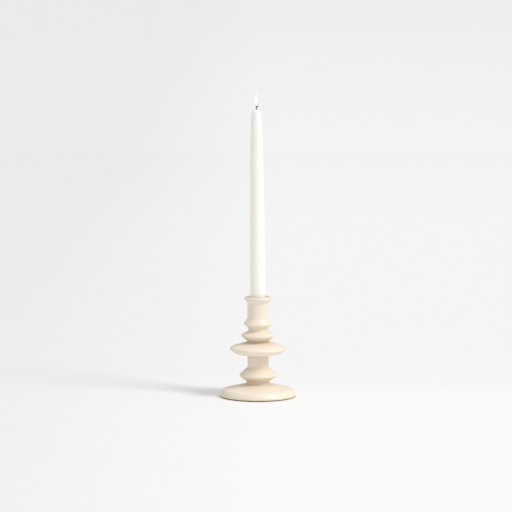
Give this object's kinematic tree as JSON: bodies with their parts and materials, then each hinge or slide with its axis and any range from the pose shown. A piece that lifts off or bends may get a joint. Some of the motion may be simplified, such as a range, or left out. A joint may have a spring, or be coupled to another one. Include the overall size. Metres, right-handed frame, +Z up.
{
  "type": "candlestick",
  "caption": "Turned wooden candlestick with a round foot, beaded stem and wide disc, holding a tapered candle that lifts out of a brass-lined socket.",
  "frame": {"origin": "middle of the felt pad's face, on the surface that the candlestick stands on", "axes": "+Z up along the candlestick's axis of turning; the wick's hook points along +X, and -Y faces the viewer"},
  "size_m": [0.11, 0.11, 0.4198],
  "materials": {
    "cream_wood": "satin cream lacquer over turned wood, faint grain",
    "zinc_steel": "zinc plated",
    "dark_felt": "pressed wool felt",
    "cup_brass": "aged brass, spun",
    "candle_wax": "dipped paraffin wax, soft sheen",
    "wick_cotton": "charred braided cotton"
  },
  "bodies": {
    "holder": {"foot": "cream_wood", "lower_stem": "cream_wood", "wide_disc": "cream_wood", "upper_stem": "cream_wood", "foot_screw": "zinc_steel", "screw_washer": "zinc_steel", "felt_pad": "dark_felt", "candle_cup": "cup_brass", "cup_screw": "cup_brass"},
    "candle": {"candle_wax": "candle_wax", "wick": "wick_cotton"}
  },
  "joints": [
    {"name": "candle_lift", "type": "slide", "parent": "holder", "child": "candle", "axis": [0, 0, 1], "range_m": [0, 0.06]}
  ]
}
